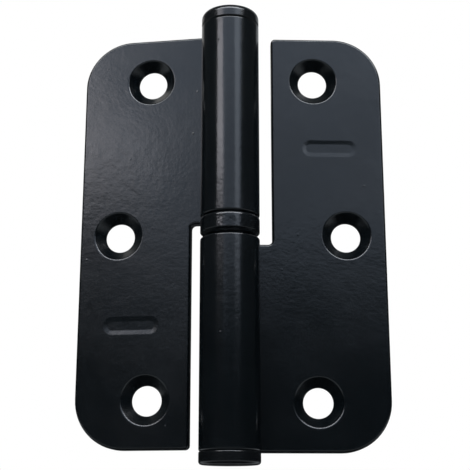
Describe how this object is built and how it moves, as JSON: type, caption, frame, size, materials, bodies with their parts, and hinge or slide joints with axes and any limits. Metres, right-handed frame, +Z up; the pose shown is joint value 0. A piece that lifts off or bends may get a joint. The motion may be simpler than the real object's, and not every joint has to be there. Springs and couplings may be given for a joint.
{
  "type": "lift-off door hinge",
  "caption": "Black lift-off door hinge: round-cornered leaves with countersunk screw holes, rolled knuckles on an upright pin, a thrust ring and end caps.",
  "frame": {"origin": "on the pin axis, at the middle of the thrust ring", "axes": "+Z up along the pin, the way the door leaf lifts off; +X from the pin axis across the frame leaf; +Y into the wall behind the frame leaf, so the countersunk faces look towards -Y"},
  "size_m": [0.0686, 0.0196, 0.1014],
  "materials": {
    "leaf_paint": "satin black paint",
    "ring_paint": "satin black paint",
    "cap_paint": "semi-gloss black paint",
    "pin_steel": "ground steel with a trace of oil"
  },
  "bodies": {
    "frame_side": {"frame_leaf": "leaf_paint", "hinge_pin": "pin_steel", "bottom_cap": "cap_paint"},
    "ring": {"thrust_ring": "ring_paint"},
    "door_side": {"door_leaf": "leaf_paint", "top_cap": "cap_paint"}
  },
  "joints": [
    {"name": "swing", "type": "hinge", "parent": "frame_side", "child": "ring", "pos_m": [0, 0, 0], "axis": [0, 0, 1], "range_deg": [-98, 203]},
    {"name": "lift_off", "type": "slide", "parent": "ring", "child": "door_side", "axis": [0, 0, 1], "range_m": [0, 0.044]}
  ]
}
